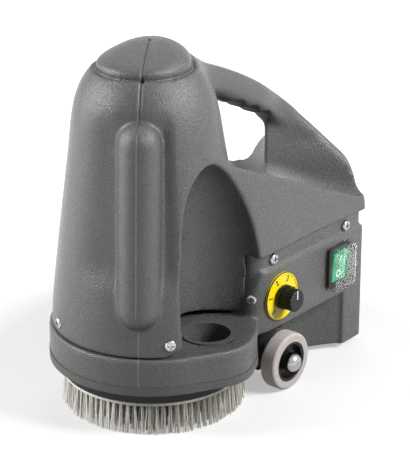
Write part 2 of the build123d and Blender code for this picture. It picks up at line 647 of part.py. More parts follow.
def make_drive():
    spindle = disc(SPINDLE_R, 37, DECK_TOP - 0.5) - disc(3.5, 36, 60)
    gear = gear_plan(GEAR_TEETH) - Circle(SPINDLE_R)
    for hole in range(5):
        gear -= Rot(0, 0, 72 * hole) * Pos(15, 0) * Circle(4)
    gear = rise(gear, GEAR_LOW, GEAR_LOW + GEAR_FACE)
    hub = disc(27, 37, 42) + disc(13, 42, 45.8) - disc(SPINDLE_R, 36, 48)
    for lug in range(3):
        hub -= Rot(0, 0, 120 * lug) * Pos(20.5, 0, 0) * disc(3.2, 36, 48)
    body = Circle(BRUSH_R) - Circle(9)
    block_part = rise(body, BLOCK_LOW, BLOCK_HIGH)
    block_part = chamfer(block_part.faces().sort_by(Axis.Z)[-1].edges().sort_by(Edge.length)[-1], 3)
    block_part -= disc(27.3, 37, BLOCK_HIGH + 1)
    for lug in range(3):
        block_part += Rot(0, 0, 120 * lug) * Pos(20.5, 0, 0) * disc(3.0, 36, 42)
    for rib in range(12):
        pocket = Rot(0, 0, 30 * rib) * Pos(52, 0, 43) * Box(34, 9, 12)
        block_part -= pocket
    strands = []
    for row in range(RINGS):
        radius = RING_FIRST + RING_STEP * row
        count = int(2 * pi * radius / STRAND_GAP)
        for turn in range(count):
            spot = Rot(0, 0, 360 * turn / count) * Pos(radius, 0, (BLOCK_LOW - SLICE / 2) / 2)
            strands.append(spot * Box(STRAND, STRAND, BLOCK_LOW - SLICE / 2))
    slice_part = ring(BRUSH_R - 1, 29, BLOCK_LOW - SLICE, BLOCK_LOW)
    bristles = slice_part.fuse(*strands)
    bolt = disc(3.5, BLOCK_LOW, 58) + disc(10.5, BLOCK_LOW - 1.5, BLOCK_LOW)
    bolt += Pos(0, 0, BLOCK_LOW - 7) * extrude(RegularPolygon(7.5, 6), 5.5)
    bolt = bolt + disc(8.9, BLOCK_LOW, 36.9)
    return {
        "spindle_bearing_upper": ring(SPINDLE_BEARING_R, SPINDLE_R + RUNNING, DECK_UNDER - 4, DECK_UNDER + 3),
        "spindle_bearing_lower": ring(SPINDLE_BEARING_R, SPINDLE_R + RUNNING, 48, 55.5),
        "brush_spindle": spindle,
        "spindle_gear": gear,
        "brush_hub": hub,
        "brush_block": block_part,
        "brush_bristles": bristles,
        "brush_bolt": bolt,
    }


def make_wheel():
    inner_y = WHEEL_FACE_Y + WHEEL_WIDTH
    tyre = along_y(WHEEL_R, HUB_R, WHEEL_FACE_Y, inner_y, WHEEL_X, WHEEL_R)
    rims = tyre.edges().filter_by(GeomType.CIRCLE).filter_by(lambda edge: edge.radius > WHEEL_R - 0.1)
    tyre = fillet(rims, 2.5)
    hub = along_y(HUB_R, 6.0, WHEEL_FACE_Y + 0.8, inner_y - 0.8, WHEEL_X, WHEEL_R)
    hub -= along_y(HUB_R - 2.5, 9.5, WHEEL_FACE_Y, WHEEL_FACE_Y + 6, WHEEL_X, WHEEL_R)
    hub -= along_y(HUB_R - 2.5, 9.5, inner_y - 6, inner_y, WHEEL_X, WHEEL_R)
    hub -= along_y(9.6, 0, WHEEL_FACE_Y, WHEEL_FACE_Y + 3.5, WHEEL_X, WHEEL_R)
    bush = along_y(6.0, AXLE_R + RUNNING, WHEEL_FACE_Y + 3.5, inner_y - 0.4, WHEEL_X, WHEEL_R)
    tip, nut = WHEEL_FACE_Y - 3.0, 5.0
    axle = along_y(AXLE_R, 0, tip, nut - BRACKET_IN, WHEEL_X, WHEEL_R)
    axle += along_y(7.0, 0, inner_y + 0.3, -BRACKET_OUT, WHEEL_X, WHEEL_R)
    nut_seat = Plane(origin=(WHEEL_X, -BRACKET_IN, WHEEL_R), z_dir=(0, 1, 0))
    axle += nut_seat * extrude(RegularPolygon(7, 6), nut)
    cap = along_y(AXLE_CAP_R, 0, AXLE_CAP_Y, WHEEL_FACE_Y + 2.5, WHEEL_X, WHEEL_R)
    cap = fillet(cap.edges().sort_by(Axis.Y)[0], 6.5)
    cap -= along_y(AXLE_R, 0, tip, WHEEL_FACE_Y + 8.0, WHEEL_X, WHEEL_R)
    front, rear = WHEEL_X - BRACKET_HALF, WHEEL_X + BRACKET_HALF
    plate = block(front, rear, -BRACKET_OUT, -BRACKET_IN, WHEEL_R - 12, BOX_FLOOR)
    plate += block(front, rear, 1.0 - BOX_HALF, -BRACKET_IN, BOX_FLOOR - 3, BOX_FLOOR)
    plate -= along_y(AXLE_R, 0, -BRACKET_OUT - 5, 5 - BRACKET_IN, WHEEL_X, WHEEL_R)
    screws = Part()
    for x, y in bracket_screw_spots():
        plate -= disc(HOLE_R, BOX_FLOOR - 5, BOX_FLOOR + 1, x, y)
        screws += up_screw(x, y, BOX_FLOOR - 3, 10)
    return {
        "wheel_tyre": tyre,
        "wheel_hub": hub,
        "wheel_bush": bush,
        "axle": axle,
        "axle_cap": cap,
        "axle_bracket": plate,
        "bracket_screws": screws,
    }


def make_dial():
    spot = facing_right(DIAL_X, DIAL_Z)
    plate = spot * extrude(Circle(DIAL_D / 2) - Circle(3.6), 1.2)
    rim = spot * Pos(0, 0, 1.2) * extrude(Circle(DIAL_D / 2) - Circle(DIAL_D / 2 - 1.8), 0.5)
    inner = -(BOX_HALF - BASE_WALL) - PANEL_Y
    pot = spot * Pos(0, 0, -inner - 12) * extrude(Circle(9.5), 12)
    pot += spot * Pos(0, 0, -inner) * extrude(Circle(3.5), inner + 2.4)
    pot += spot * Pos(0, 0, 1.2) * extrude(RegularPolygon(5.5, 6), 1.2)
    pot -= spot * Pos(0, 0, -inner - 10) * extrude(Circle(3 + RUNNING), 40)
    shaft = spot * Pos(0, 0, -inner - 9.8) * extrude(Circle(3.0), inner + 9.8 + 12)
    depth = PANEL_Y - KNOB_FRONT_Y
    grip_ring = Circle(KNOB_D / 2)
    for flute in range(18):
        grip_ring -= Rot(0, 0, 20 * flute + 10) * Pos(KNOB_D / 2 + 0.5, 0) * Circle(1.2)
    knob = extrude(Circle(KNOB_D / 2 + 1.2), 2.5) + extrude(grip_ring, depth - 3.0)
    knob = chamfer(knob.faces().sort_by(Axis.Z)[-1].outer_wire().edges(), 0.8)
    knob -= extrude(Circle(6.2), 4.5) + extrude(Circle(3.0), 9.0)
    knob = spot * Pos(0, 0, 3.0) * knob
    board = facing_right(DIAL_X + 28, DIAL_Z + 4) * Pos(0, 0, -inner - 13.6) * extrude(Rectangle(74, 46), 1.6)
    heat = facing_right(DIAL_X + 48, DIAL_Z + 4) * Pos(0, 0, -inner - 29.6) * extrude(Rectangle(22, 30), 16)
    return {
        "scale_plate": plate + rim,
        "potentiometer": pot,
        "pot_shaft": shaft,
        "speed_knob": knob,
        "control_board": board,
        "heat_sink": heat,
    }


def make_switch():
    spot = facing_right(SWITCH_X, SWITCH_Z)
    opening = Rectangle(ROCKER_W + 1.0, ROCKER_H + 1.0)
    frame = RectangleRounded(FRAME_W, FRAME_H, 3) - opening
    frame = spot * extrude(frame, 3.2)
    body = spot * Pos(0, 0, -26) * extrude(Rectangle(SWITCH_BODY_W, SWITCH_BODY_H), 26)
    body -= spot * Pos(0, 0, -9.5) * extrude(opening, 12)
    profile = [(-ROCKER_H / 2, 3.6), (0, 2.4), (ROCKER_H / 2, 3.6), (ROCKER_H / 2 - 1.5, -1.0), (2.5, -5.5)]
    profile += [(-2.5, -5.5), (-ROCKER_H / 2 + 1.5, -1.0)]
    turned = Plane(origin=(0, 0, 0), x_dir=(0, 1, 0), z_dir=(1, 0, 0))
    side = turned * make_face(Polyline(*profile, close=True))
    rocker = extrude(side, ROCKER_W / 2, both=True)
    rocker = spot * Rot(ROCKER_SET, 0, 0) * rocker
    shell = RectangleRounded(FRAME_W + 4, FRAME_H + 4, 5)
    cover = extrude(shell, 12)
    cover = fillet(cover.faces().sort_by(Axis.Z)[-1].edges(), 4)
    hollow = extrude(RectangleRounded(FRAME_W + 1.6, FRAME_H + 1.6, 3.8), 10.8)
    cover = spot * (cover - fillet(hollow.faces().sort_by(Axis.Z)[-1].edges(), 2.8))
    return {"switch_frame": frame, "switch_body": body, "switch_rocker": rocker, "switch_cover": cover}


def make_wiring():
    turned = Plane(origin=(0, 0, 0), x_dir=(0, 1, 0), z_dir=(1, 0, 0))
    gland = Circle(GLAND_R) - Circle(GLAND_BORE_R)
    body = turned * Pos(0, GLAND_Z, BOX_REAR - 12) * extrude(gland, 24)
    body += turned * Pos(0, GLAND_Z, BOX_REAR) * extrude(RegularPolygon(12, 6) - Circle(GLAND_BORE_R), 6)
    body += turned * Pos(0, GLAND_Z, BOX_REAR + 6) * extrude(Circle(10) - Circle(GLAND_BORE_R), 14)
    nut = RegularPolygon(12, 6) - Circle(GLAND_R)
    gland_nut = turned * Pos(0, GLAND_Z, BOX_REAR - BASE_WALL - 5.6) * extrude(nut, 5)
    floor = BOX_BOTTOM + BASE_WALL
    can = extrude(Circle(SUPPRESSOR_R), SUPPRESSOR_LENGTH)
    capacitor = turned * Pos(SUPPRESSOR_Y, floor + SUPPRESSOR_R + 0.5, SUPPRESSOR_X) * can
    depth = TERMINAL_DEPTH
    ways = 3
    x_end = TERMINALS_X + ways * TERMINAL_PITCH
    terminals = block(TERMINALS_X, x_end, TERMINALS_Y, TERMINALS_Y + depth, floor, floor + depth)
    for way in range(ways):
        x = TERMINALS_X + (way + 0.5) * TERMINAL_PITCH
        terminals -= disc(2.2, floor + depth - 7, floor + depth + 1, x, TERMINALS_Y + depth / 2)
    return {"cable_gland": body, "gland_nut": gland_nut, "suppressor": capacitor, "terminal_block": terminals}


pieces = {
    "hood": make_hood(),
    "base_housing": make_base(),
    "skirt_seal": make_seal(),
    "socket_sleeve": make_sleeve(),
    "hood_screws": make_hood_screws(),
    "gear_case": make_gear_case(),
}
pieces.update(make_motor())
pieces.update(make_drive())
pieces.update(make_dial())
pieces.update(make_switch())
pieces.update(make_wiring())
for name, shape in make_wheel().items():
    pieces[name + "_right"] = shape
    pieces[name + "_left"] = left(shape)
motor_screws = Part()
for x, y in motor_screw_spots():
    motor_screws += down_screw(x, y, DECK_TOP + 4, 7.5)
pieces["motor_screws"] = motor_screws
case_screws = Part()
for x, y in case_screw_spots():
    case_screws += up_screw(x, y, 66, 7)
pieces["gear_case_screws"] = case_screws

os.makedirs("parts", exist_ok=True)
for name, shape in pieces.items():
    export_step(SHIFT * shape, f"parts/{name}.step")
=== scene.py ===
import json
import math

import bpy
import numpy as np
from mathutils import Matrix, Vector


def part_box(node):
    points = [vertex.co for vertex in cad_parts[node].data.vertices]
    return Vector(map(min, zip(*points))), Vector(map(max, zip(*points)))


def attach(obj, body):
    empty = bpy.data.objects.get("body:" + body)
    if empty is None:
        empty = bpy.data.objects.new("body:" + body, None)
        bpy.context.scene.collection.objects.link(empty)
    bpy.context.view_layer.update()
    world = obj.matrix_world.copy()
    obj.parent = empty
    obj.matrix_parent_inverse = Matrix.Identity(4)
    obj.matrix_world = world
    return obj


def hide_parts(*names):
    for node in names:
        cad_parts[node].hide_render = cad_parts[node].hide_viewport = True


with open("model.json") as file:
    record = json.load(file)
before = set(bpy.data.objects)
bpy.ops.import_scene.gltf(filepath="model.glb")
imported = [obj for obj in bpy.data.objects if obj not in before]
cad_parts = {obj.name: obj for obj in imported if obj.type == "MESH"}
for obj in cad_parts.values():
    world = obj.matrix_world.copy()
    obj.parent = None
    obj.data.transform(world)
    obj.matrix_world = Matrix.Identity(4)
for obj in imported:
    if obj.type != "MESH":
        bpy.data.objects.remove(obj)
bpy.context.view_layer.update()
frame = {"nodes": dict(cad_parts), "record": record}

import openvdb
from mathutils import Matrix, Vector

SPINDLE_LOW, SPINDLE_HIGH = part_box("brush_spindle")
AXIS = (SPINDLE_LOW + SPINDLE_HIGH) / 2
MM = 0.001

# Shapes are in millimetres about the brush axis: floor at zero, X to the rear, the panel towards minus Y.
# The two mouldings are distance fields, sampled every STEP inside these corners.
STEP = 1.25
SKIN_DETAIL = 0.02
HOOD_LOW, HOOD_HIGH = (-92, -92, 58), (226, 92, 328)
BASE_LOW, BASE_HIGH = (-94, -103, 2), (222, 94, 136)
HOOD_WALL, BASE_WALL = 3.5, 4.0
JOINT_GAP, SEAM_GAP = 0.5, 0.8

# Skirt, ledge, socket and the spindle's hole.
SKIRT_R, SKIRT_LIFT, DECK_TOP, SKIRT_ROUND = 90.0, 44.0, 74.0, 2.5
LEDGE_R, LEDGE_REAR = 39.0, (14.0, -55.0)
SOCKET, SOCKET_R, SOCKET_FOOT = (3.0, -60.0), 22.0, 40.0
SPINDLE_HOLE_R, SPINDLE_HOLE_FOOT = 18.0, 60.0

# Control box, with arches behind the wheels and a raised panel.
BOX_TOP, BOX_FLOOR, BOX_BOTTOM = 131.0, 57.5, 5.0
BOX_FRONT, BOX_HALF, BOX_CORNER_X, BOX_REAR = 52.0, 73.0, 203.0, 217.0
BOX_CORNER_R, BOX_RIM, BOX_ROUND = 14.0, 2.0, 1.5
ARCH_TOP, ARCH_END, ARCH_FRONT, ARCH_ROUND = 64.0, 177.0, 95.0, 2.0
ARCH_SIDE = [(ARCH_END, BOX_HALF), (148, 53), (120, 44), (87, 38)]
PIT_TOP = BOX_FLOOR + 6.0
PANEL_TOP, PANEL_RISE = 116.0, 3.0
PANEL_Y = -(BOX_HALF + PANEL_RISE)
PANEL_EDGE = [(58, PANEL_TOP), (210, PANEL_TOP), (210, BOX_BOTTOM), (ARCH_END, BOX_BOTTOM)]
PANEL_EDGE += [(ARCH_END, BOX_FLOOR), (44, BOX_FLOOR), (44, 84), (49, 90)]
PANEL_SIDE_END, PANEL_FRONT_HALF, PANEL_FRONT_END = 209.0, 40.0, 59.0
PANEL_CUT = (-90.0, -60.0)
DOOR_X, DOOR_HALF_X, DOOR_HALF_Y = BOX_FRONT + 2.0, 6.0, 46.0
DIAL, DIAL_HOLE_R = (83.0, 86.5), 4.0
SWITCH, SWITCH_HALF = (165.3, 89.2), (12.2, 16.2)
GLAND_Z, GLAND_R, GLAND_FRONT = 40.0, 8.2, 190.0
SKIRT_BLEND, PANEL_BLEND, BASE_BLEND = 5.0, 2.5, 3.0
PANEL_SOFT, SOCKET_SOFT, HOLE_SOFT = 2.0, 1.0, 0.5

# Tower and cap. The tower leans: LEAN is how far its centre has moved towards the nose at the cap's rim.
LEAN, LEAN_FOOT = 7.8, 75.0
HOOD_FOOT, HOOD_FOOT_R, HOOD_FOOT_X = 58.0, 89.0, 20.0
TOWER_SIDE = [(88, 60), (86.7, 87), (82.3, 122.5), (76.8, 161.5), (70.8, 200), (66, 231)]
TOWER_SIDE += [(62.4, 259), (58.5, 277), (51.5, 292.5), (44, 301.5)]
CAP_R, CAP_Z, CAP_TOP, CAP_DRAWN = 39.3, 305.0, 322.0, 8.0
CAP_NECK = [(41.5, 300.2), (38.0, 299.0), (CAP_R, 300.6)]
CAP_SIDE = [(CAP_R, CAP_Z), (38, 308.5), (31, 314), (19, 320.6), (8, 323.4), (0, 323.4)]

# Parting line of the mould, and the grip bar that stands on it.
SEAM_ANGLE = math.radians(33.5)
GROOVE_HALF, GROOVE_DEPTH = 2.2, 1.4
BAR_R, BAR_BLEND = 18.0, 3.0
BAR_FOOT_R, BAR_FOOT_Z = 79.5, 117.0
BAR_HEAD_R, BAR_HEAD_Z = 64.5, 254.0

# Shallow recess round the bar's upper part: heights, and sides in degrees from the nose.
# Over each pair of values the recess goes between nothing and its full depth.
RECESS_DEPTH = 4.5
RECESS_LOW, RECESS_HIGH = (126, 152), (256, 282)
RECESS_LEFT, RECESS_RIGHT = (-14, 14), (49, 60)

# Tail: the hood's low rear, with a ridge along each side of its dished deck.
# DECK_SCALE turns a height over the sloping deck roughly into a distance from it.
TAIL_HALF, TAIL_REAR, TAIL_DRAFT = 77.5, 221.5, 0.12
TAIL_FADE, TAIL_FADE_X = 5.0, (5, 55)
RIDGE = ((12.0, 233.5), (207.0, 143.0))
DISH_DEPTH, DISH_HALF, DISH_END = 13.0, 76.0, 1.2
DECK_SCALE, DECK_BLEND, TAIL_BLEND = 0.9, 3.0, 10.0
RIDGE_EDGE, TRIM_START, TRIM_FREE = (58, 74), (60, 100), 400
TRIM_BLEND, REAR_BLEND = 2.0, 4.0

# Loop handle: a grip under an arc, which runs into a column that spreads to the rear like a horn.
HANDLE_ARC = ((30.0, 301.0), (118.0, 266.4), (199.0, 212.5))
GRIP_UNDER = ((80.0, 252.0), (160.0, 212.0))
GRIP_FRONT, GRIP_REAR = 30.0, 190.0
GRIP_HALF, GRIP_ROUND = 16.5, 13.0
GRIP_DRAWN, GRIP_TAPER = 9.0, (128, 178)
HORN_FRONT, HORN_REAR, HORN_FOOT, HORN_RUN_END = 155.0, 212.0, 128.0, 1.25
HORN_NOSE, HORN_SPREAD, HORN_RISE = 1.5, 44.0, 0.4
HORN_DRAFT, HORN_LEVEL, HORN_DRAFT_END = 0.6, 178.0, -12.0
ROOF_FLAT, ROOF_FALL, ROOF_FADE = 1.0, 0.36, (130, 180)
ROOF_BLEND, GRIP_BLEND, CROWN_BLEND, HANDLE_BLEND = 10.0, 8.0, 3.0, 22.0
SCALLOP_X, SCALLOP_R, SCALLOP_DEPTH, SCALLOP_PITCH = 117.0, 13.0, 5.0, 22.0
SCALLOP_REACH, SCALLOP_HALF, SCALLOP_BLEND = 20.0, 30.0, 2.0

# Niche over the socket. It bends towards the nose above NICHE_BEND_Z, and the hood's edge lifts round it.
NICHE, NICHE_BLEND = (4.0, -77.0), 3.0
NICHE_SIDE = [(49.7, 58), (49, 110), (48, 134), (44.3, 159), (40.2, 180)]
NICHE_SIDE += [(34.7, 198), (27.5, 213), (18, 224), (8, 231), (0, 232)]
NICHE_BEND_Z, NICHE_BEND = 160.0, 0.1
NICHE_LIFT, NICHE_LIFT_R = 6.0, (50, 66)
LIFT_DROP, LIFT_DROP_X = 0.6, (10, 50)

# Brush: rows of tufts of filaments under a flat backing.
TUFT_ROWS, TUFT_FIRST_R, TUFT_ROW_PITCH, TUFT_PITCH = 7, 33.0, 7.2, 6.0
TUFT_TOP, TUFT_TIP, TUFT_SPREAD = 28.5, 0.0, 0.55
TUFT_LEAN, TUFT_LEAN_MORE = 0.6, 0.9
FILAMENTS, FILAMENT_BEND, FILAMENT_SHORT = 11, 0.7, 0.35
FILAMENT_ROOT_R, FILAMENT_TIP_R = 0.4, 0.3
BACKING_IN, BACKING_OUT, BACKING_LOW, BACKING_HIGH = 29.0, 79.0, 27.0, 30.0
RING_SIDES = 64

# Print on dial, knob and rocker. The scale's start and sweep are in degrees.
# A face is a distance out of the panel or of the tilted rocker. A bar's size is width, length and height.
SCALE_FACE, SCALE_START, SCALE_SWEEP = 1.25, 225.0, 270.0
SCALE_RIM_FACE, SCALE_RIM_OUT, SCALE_RIM_IN, SCALE_RIM_HEIGHT = 1.1, 22.35, 21.5, 0.65
FIGURES, FIGURE_R, FIGURE_SIZE, FIGURE_HEIGHT, FIGURE_BOLD = 6, 15.8, 7.2, 0.04, 0.2
TICKS, TICK_R, TICK_SIZE = 26, 19.5, (0.4, 1.4, 0.08)
POINTER_FACE, POINTER_R, POINTER_SIZE = 17.98, 5.5, (1.3, 8.0, 0.15)
ROCKER_REST, ROCKER_SLOPE = math.radians(8), math.radians(4.8)
MARK_FACE, MARK_Z, MARK_HEIGHT = 3.05, 7.5, 0.12
OFF_MARK_OUT, OFF_MARK_IN = 3.4, 2.3
ON_MARK_SIZE = (1.1, 6.5, MARK_HEIGHT)

# Looks: linear colours and shares, with widths, heights and distances in metres.
HOUSING_GREY = (0.085, 0.0845, 0.083)
# The parting line's colours are painted light: a pale painted highlight low down on the bar and skirt, and
# dark painted shade above the given heights on the upper tower and cap.
LINE_WIDTH, PAINTED_SEAM_HIGHLIGHT, PAINTED_SEAM_SHADE = 0.0009, [0.22] * 3, [0.015] * 3
SEAM_SHADE_HEIGHTS = (0.262, 0.27)
COVER_SHARE = 0.22
SHARP_EDGE = math.radians(32)
FLOOR_HALF, FLOOR_DARK, FLOOR_LIGHT, FLOOR_THROWN = 6.0, [0.46] * 3, [0.48] * 3, 0.18
FLOOR_GLOW, GLOW_START, GLOW_END = 0.42, 0.2, 0.38
WORLD_LIGHT = 0.08

# Camera: place in millimetres like the shapes, shift as a share of the picture's longer side.
CAMERA_SPOT = (-1060.9, -949.0, 729.5)
CAMERA_AZIMUTH, CAMERA_ELEVATION = math.radians(50), math.radians(21.5)
CAMERA_LENS, CAMERA_SENSOR, CAMERA_SHIFT, CAMERA_END = 144.0, 36.0, -11.0 / 450, 50.0


def place(x, y, z):
    """Row frame position, in metres, of a point given in millimetres about the brush axis."""
    return Vector((AXIS.x + x * MM, AXIS.y + y * MM, z * MM))


def add_object(name, data):
    thing = bpy.data.objects.new(name, data)
    bpy.context.scene.collection.objects.link(thing)
    return thing


def mesh_piece(name, points, faces, smooth=False):
    mesh = bpy.data.meshes.new(name)
    mesh.from_pydata(points, [], faces)
    mesh.polygons.foreach_set("use_smooth", [smooth] * len(mesh.polygons))
    mesh.update()
    return add_object(name, mesh)


def soften(points):
    """Cuts the corners of an open outline twice, so that it runs as a smooth curve between its ends."""
    points = [np.array(p, float) for p in points]
    for _ in range(2):
        pairs = zip(points, points[1:])
        cut = [q for a, b in pairs for q in (0.75 * a + 0.25 * b, 0.25 * a + 0.75 * b)]
        points = [points[0]] + cut[1:-1] + [points[-1]]
    return [tuple(p) for p in points]


def polygon(points, a, b):
    """Signed distance to a closed outline in the plane of the coordinates a and b."""
    nearest, inside = None, False
    for (px, py), (qx, qy) in zip(points, points[1:] + points[:1]):
        ex, ey = qx - px, qy - py
        along = np.clip(((a - px) * ex + (b - py) * ey) / (ex * ex + ey * ey), 0, 1)
        gap = (a - px - along * ex) ** 2 + (b - py - along * ey) ** 2
        nearest = gap if nearest is None else np.minimum(nearest, gap)
        if qy != py:
            crosses = ((py > b) != (qy > b)) & (a < (qx - px) * (b - py) / (qy - py) + px)
            inside = inside ^ crosses
    return np.where(inside, -1.0, 1.0) * np.sqrt(nearest)


def hull(points):
    """Outline of the convex hull, anticlockwise."""
    points = sorted(set(points))

    def chain(run):
        out = []
        for p in run:
            while len(out) > 1:
                (ax, ay), (bx, by) = out[-2], out[-1]
                if (bx - ax) * (p[1] - ay) - (by - ay) * (p[0] - ax) > 0:
                    break
                out.pop()
            out.append(p)
        return out[:-1]

    return chain(points) + chain(points[::-1])


def around(x, y, radius, count=48):
    """Points round a circle."""
    turns = [2 * math.pi * i / count for i in range(count)]
    return [(x + radius * math.cos(t), y + radius * math.sin(t)) for t in turns]


def circle_through(a, b, c):
    """Centre and radius of the circle through three points."""
    (ax, ay), (bx, by), (cx, cy) = a, b, c
    d = 2 * (ax * (by - cy) + bx * (cy - ay) + cx * (ay - by))
    sa, sb, sc = ax * ax + ay * ay, bx * bx + by * by, cx * cx + cy * cy
    ux = (sa * (by - cy) + sb * (cy - ay) + sc * (ay - by)) / d
    uy = (sa * (cx - bx) + sb * (ax - cx) + sc * (bx - ax)) / d
    return ux, uy, math.hypot(ax - ux, ay - uy)


def revolved(points, radius, z):
    """Signed distance to an outline of (radius, height) points turned about an upright axis."""
    spacing, end = 0.5, 140
    fine = np.arange(0, end, spacing)
    table = polygon(points, fine[:, None], z.reshape(1, -1)).astype(np.float32)
    at = np.clip(radius / spacing, 0, len(fine) - 2)
    low = at.astype(np.int32)
    part = at - low
    level = np.arange(z.size).reshape(1, 1, -1)
    return table[low, level] * (1 - part) + table[low + 1, level] * part


def thick(flat, across, half, rounding):
    """A flat outline given a thickness, with rounded edges."""
    a, b = flat + rounding, np.abs(across) - half + rounding
    return np.minimum(np.maximum(a, b), 0) + np.hypot(np.maximum(a, 0), np.maximum(b, 0)) - rounding


def slab(plan, z, low, high, rounding):
    """A plan that stands from low to high, with rounded edges."""
    return thick(plan, z - (low + high) / 2, (high - low) / 2, rounding)


def capsule(x, y, z, a, b, radius):
    """A round bar between two points, with round ends."""
    a, b = np.array(a), np.array(b)
    run = b - a
    t = ((x - a[0]) * run[0] + (y - a[1]) * run[1] + (z - a[2]) * run[2]) / run.dot(run)
    t = np.clip(t, 0, 1)
    gap = (x - a[0] - t * run[0]) ** 2 + (y - a[1] - t * run[1]) ** 2 + (z - a[2] - t * run[2]) ** 2
    return np.sqrt(gap) - radius


def blend_in(value, start, end):
    """Smooth step from zero at start to one at end."""
    t = np.clip((value - start) / (end - start), 0, 1)
    return t * t * (3 - 2 * t)


def join(a, b, radius):
    """Both forms together, with a fillet."""
    h = np.maximum(radius - np.abs(a - b), 0) / radius
    return np.minimum(a, b) - h * h * radius / 4


def carve(a, b, radius):
    """The first form without the second, with a rounded edge."""
    return -join(-a, b, radius)


def meet(a, b, radius):
    """What both forms share, with a rounded edge."""
    return -join(-a, -b, radius)


def slope_of(ends):
    (x0, z0), (x1, z1) = ends
    return (z1 - z0) / (x1 - x0)


def height_at(ends, x):
    """Height at x of the straight line through two (x, height) ends."""
    return ends[0][1] + slope_of(ends) * (x - ends[0][0])


def space(low, high):
    """Grid of sample points between two corners, as three broadcastable arrays."""
    x, y, z = (np.arange(a, b + STEP, STEP, dtype=np.float32) for a, b in zip(low, high))
    return x[:, None, None], y[None, :, None], z[None, None, :]


def skin(name, field, low):
    """Turns a sampled distance field into a smooth shaded mesh object."""
    reach = 3 * STEP
    grid = openvdb.FloatGrid(reach)
    grid.copyFromArray(np.clip(field, -reach, reach).astype(np.float32))
    points, tris, quads = grid.convertToPolygons(isovalue=0.0, adaptivity=SKIN_DETAIL)
    points = points * STEP + np.array(low)
    points = points * MM + np.array((AXIS.x, AXIS.y, 0))
    faces = [tuple(f[::-1]) for f in tris.tolist()] + [tuple(f[::-1]) for f in quads.tolist()]
    return mesh_piece(name, points.tolist(), faces, smooth=True)


def box_rear(count):
    """The arc of the control box's rear wall, from the right corner to the left."""
    cx, cy, radius = circle_through((BOX_CORNER_X, -BOX_HALF), (BOX_REAR, 0), (BOX_CORNER_X, BOX_HALF))
    reach = math.asin(BOX_HALF / radius)
    turns = np.linspace(-reach, reach, count)
    return [(cx + radius * math.cos(t), cy + radius * math.sin(t)) for t in turns]


def box_outline():
    """Plan of the control box, with round front corners."""
    x, y = BOX_FRONT + BOX_CORNER_R, BOX_HALF - BOX_CORNER_R
    turns = np.linspace(0, math.pi / 2, 7)
    left = [(x - BOX_CORNER_R * math.sin(t), y + BOX_CORNER_R * math.cos(t)) for t in turns]
    return box_rear(17) + left + [(px, -py) for px, py in left[::-1]]


def arch_outline():
    """Plan of the lower box, scooped out behind the wheels."""
    left = soften(ARCH_SIDE)
    return box_rear(13) + left + [(ARCH_FRONT, 0)] + [(px, -py) for px, py in left[::-1]]


def tower_form(x, y, z):
    """The leaning tower with its cap, the recess round the bar and the parting groove above it."""
    lean = LEAN * (z - LEAN_FOOT) / (CAP_Z - LEAN_FOOT) - CAP_DRAWN * blend_in(z, CAP_Z, CAP_TOP)
    outline = [(0, HOOD_FOOT)] + soften(TOWER_SIDE) + CAP_NECK + soften(CAP_SIDE)
    tower = revolved(outline, np.hypot(x + lean, y), z)
    turn = np.degrees(np.arctan2(-y, -x))
    recess = blend_in(turn, *RECESS_LEFT) * (1 - blend_in(turn, *RECESS_RIGHT))
    recess = recess * blend_in(z, *RECESS_LOW) * (1 - blend_in(z, *RECESS_HIGH))
    sine, cosine = math.sin(SEAM_ANGLE), math.cos(SEAM_ANGLE)
    off_seam = np.abs(x * sine - y * cosine)
    at_front = x * cosine + y * sine < 0
    groove = np.maximum(1 - off_seam / GROOVE_HALF, 0) * at_front
    tower = tower + RECESS_DEPTH * recess
    return tower + GROOVE_DEPTH * groove * blend_in(z, *RECESS_HIGH)


def flank_form(x, y, z):
    """The tail's side walls, drawn in towards the top and towards the nose."""
    flank = np.abs(y) - TAIL_HALF + TAIL_DRAFT * (z - BOX_TOP)
    return flank + TAIL_FADE * (1 - blend_in(x, *TAIL_FADE_X))


def tail_form(x, y, z):
    """The side walls under a dished deck that falls to the rear."""
    dish = DISH_DEPTH * (1 - np.minimum((y / DISH_HALF) ** 4, DISH_END))
    deck = (z - height_at(RIDGE, x) + dish) * DECK_SCALE
    return meet(np.maximum(flank_form(x, y, z), -x), deck, DECK_BLEND)


def grip_under(x, z):
    """Distance below the straight underside of the grip."""
    return (height_at(GRIP_UNDER, x) - z) / math.hypot(1, slope_of(GRIP_UNDER))


def handle_form(x, y, z):
    """The grip, drawn in to the rear, with the column that carries it."""
    cx, cz, bend = circle_through(*HANDLE_ARC)
    top = np.hypot(x - cx, z - cz) - bend
    slim = GRIP_HALF - GRIP_DRAWN * blend_in(x, *GRIP_TAPER)
    grip = np.maximum(np.maximum(top, grip_under(x, z)), np.maximum(GRIP_FRONT - x, x - GRIP_REAR))
    grip = thick(grip, y, slim, GRIP_ROUND * slim / GRIP_HALF)

    length = HORN_REAR - HORN_FRONT
    run = np.clip((x - HORN_FRONT) / length, 0, HORN_RUN_END)
    spread = HORN_SPREAD + HORN_DRAFT * np.maximum(HORN_LEVEL - z, HORN_DRAFT_END)
    half = HORN_NOSE + spread * (HORN_RISE * run + (1 - HORN_RISE) * run ** 2)
    steep = spread * (HORN_RISE + 2 * (1 - HORN_RISE) * run) / length
    horn = (np.abs(y) - half) / np.hypot(1, steep)
    gable = ROOF_FALL * np.maximum(np.abs(y) - ROOF_FLAT, 0)
    roof = (top + gable) / math.hypot(1, ROOF_FALL)
    column = meet(np.maximum(horn, HORN_FRONT - x), roof, ROOF_BLEND)
    column = np.maximum(column, HORN_FOOT - z)

    crown = top + gable * blend_in(x, *ROOF_FADE)
    return meet(join(column, grip, GRIP_BLEND), crown, CROWN_BLEND)


